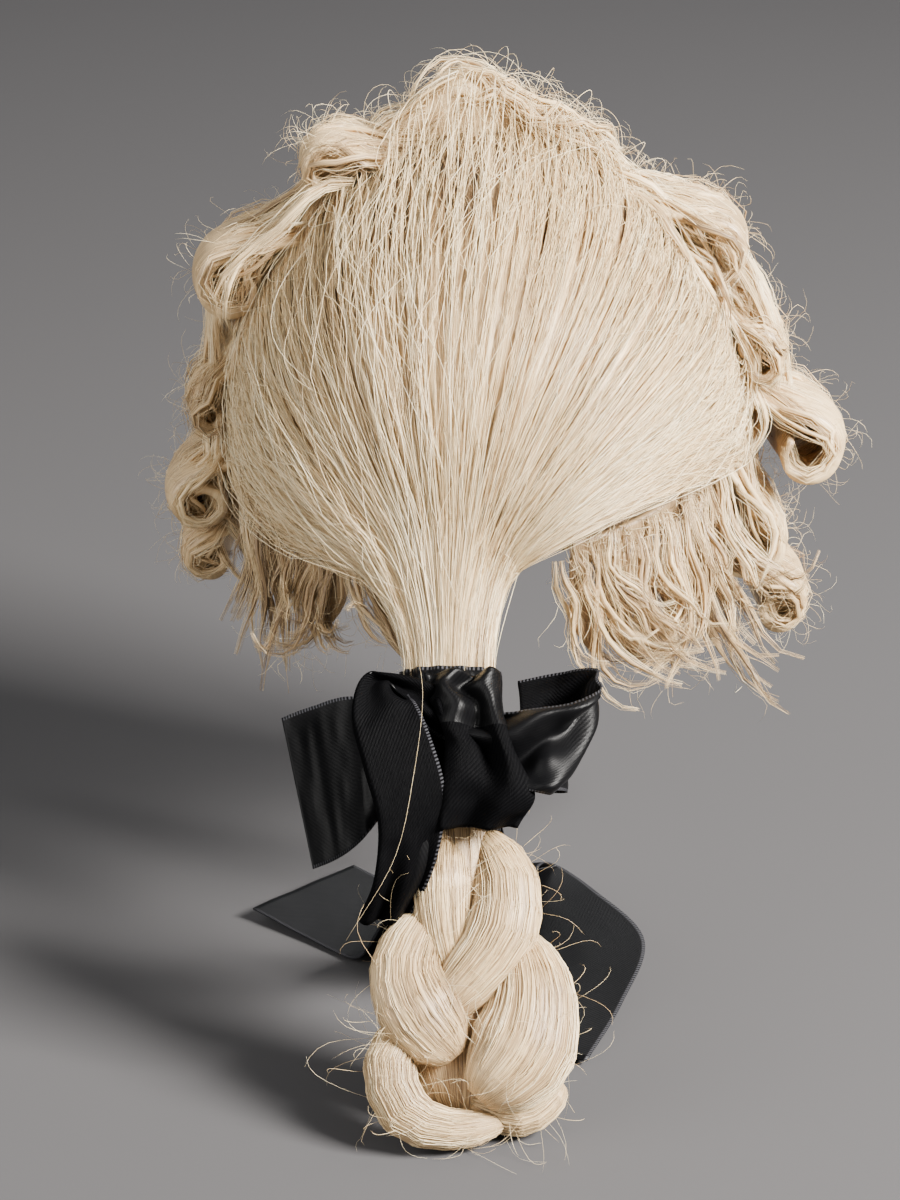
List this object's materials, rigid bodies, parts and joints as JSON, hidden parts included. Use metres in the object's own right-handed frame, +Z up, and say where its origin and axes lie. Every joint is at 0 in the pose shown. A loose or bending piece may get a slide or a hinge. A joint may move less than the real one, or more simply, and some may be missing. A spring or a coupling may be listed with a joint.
{
  "type": "powdered wig",
  "caption": "Pale powdered wig with a high front, rolled side curls and a plaited queue in a black ribbon bow, held in shape as worn.",
  "frame": {"origin": "inside of the cap at the top of the head", "axes": "+Z up as worn, +Y towards the wearer's face, +X towards the wearer's right"},
  "size_m": [0.2474, 0.3028, 0.2998],
  "materials": {
    "cap_net": "matte woven net",
    "hair": "silky pale hair",
    "ribbon": "black satin"
  },
  "bodies": {
    "root": {"cap": "cap_net", "back_hair": "hair", "front_hair": "hair", "side_curl_left_top": "hair", "side_curl_left_upper": "hair", "side_curl_left_middle": "hair", "side_curl_left_lower": "hair", "side_curl_left_bottom": "hair", "side_curl_right_top": "hair", "side_curl_right_middle": "hair", "side_curl_right_upper": "hair", "side_curl_right_lower": "hair", "side_curl_right_bottom": "hair", "nape_curls_left": "hair", "nape_curls_right": "hair", "braid": "hair", "ribbon_wrap": "ribbon", "ribbon_knot": "ribbon", "ribbon_loop_left": "ribbon", "ribbon_loop_right": "ribbon", "ribbon_end_left": "ribbon", "ribbon_tail_left": "ribbon", "ribbon_tail_right": "ribbon"}
  },
  "joints": []
}
